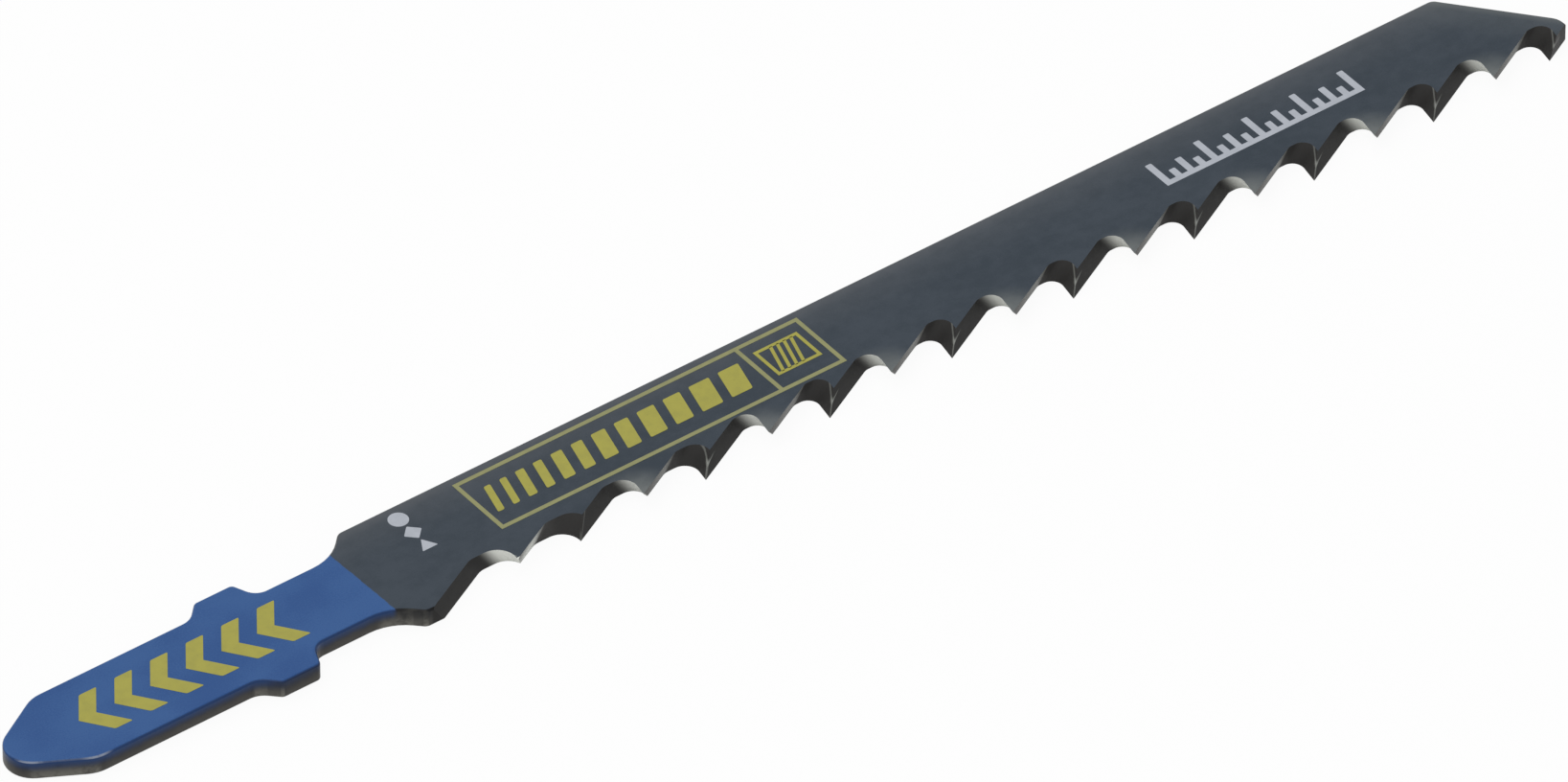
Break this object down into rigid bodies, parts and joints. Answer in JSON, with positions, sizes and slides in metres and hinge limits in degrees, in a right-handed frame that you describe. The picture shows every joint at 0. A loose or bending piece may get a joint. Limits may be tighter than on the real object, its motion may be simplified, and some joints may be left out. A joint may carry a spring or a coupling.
{
  "type": "jigsaw blade",
  "caption": "Flat blackened steel saw blade with a bullet-ended T-lug shank, a row of hooked teeth ground from alternate faces and a slanted nose, for a jigsaw cutting wood.",
  "frame": {"origin": "on the lower flat face, on the shank's centre line, at the seat of the T lugs, where the saw's clamp stops the blade", "axes": "+X along the blade from the shank to the nose, +Y from the teeth to the back edge, +Z from the lower face to the upper, painted face"},
  "size_m": [0.0998, 0.0078, 0.0011],
  "materials": {
    "blade": "hardened steel, ground and blackened, bright only in the gullets",
    "yellow_print": "matt yellow ink, screen printed",
    "pale_print": "matt pale ink, screen printed"
  },
  "bodies": {
    "root": {"blade": "blade"}
  },
  "joints": []
}
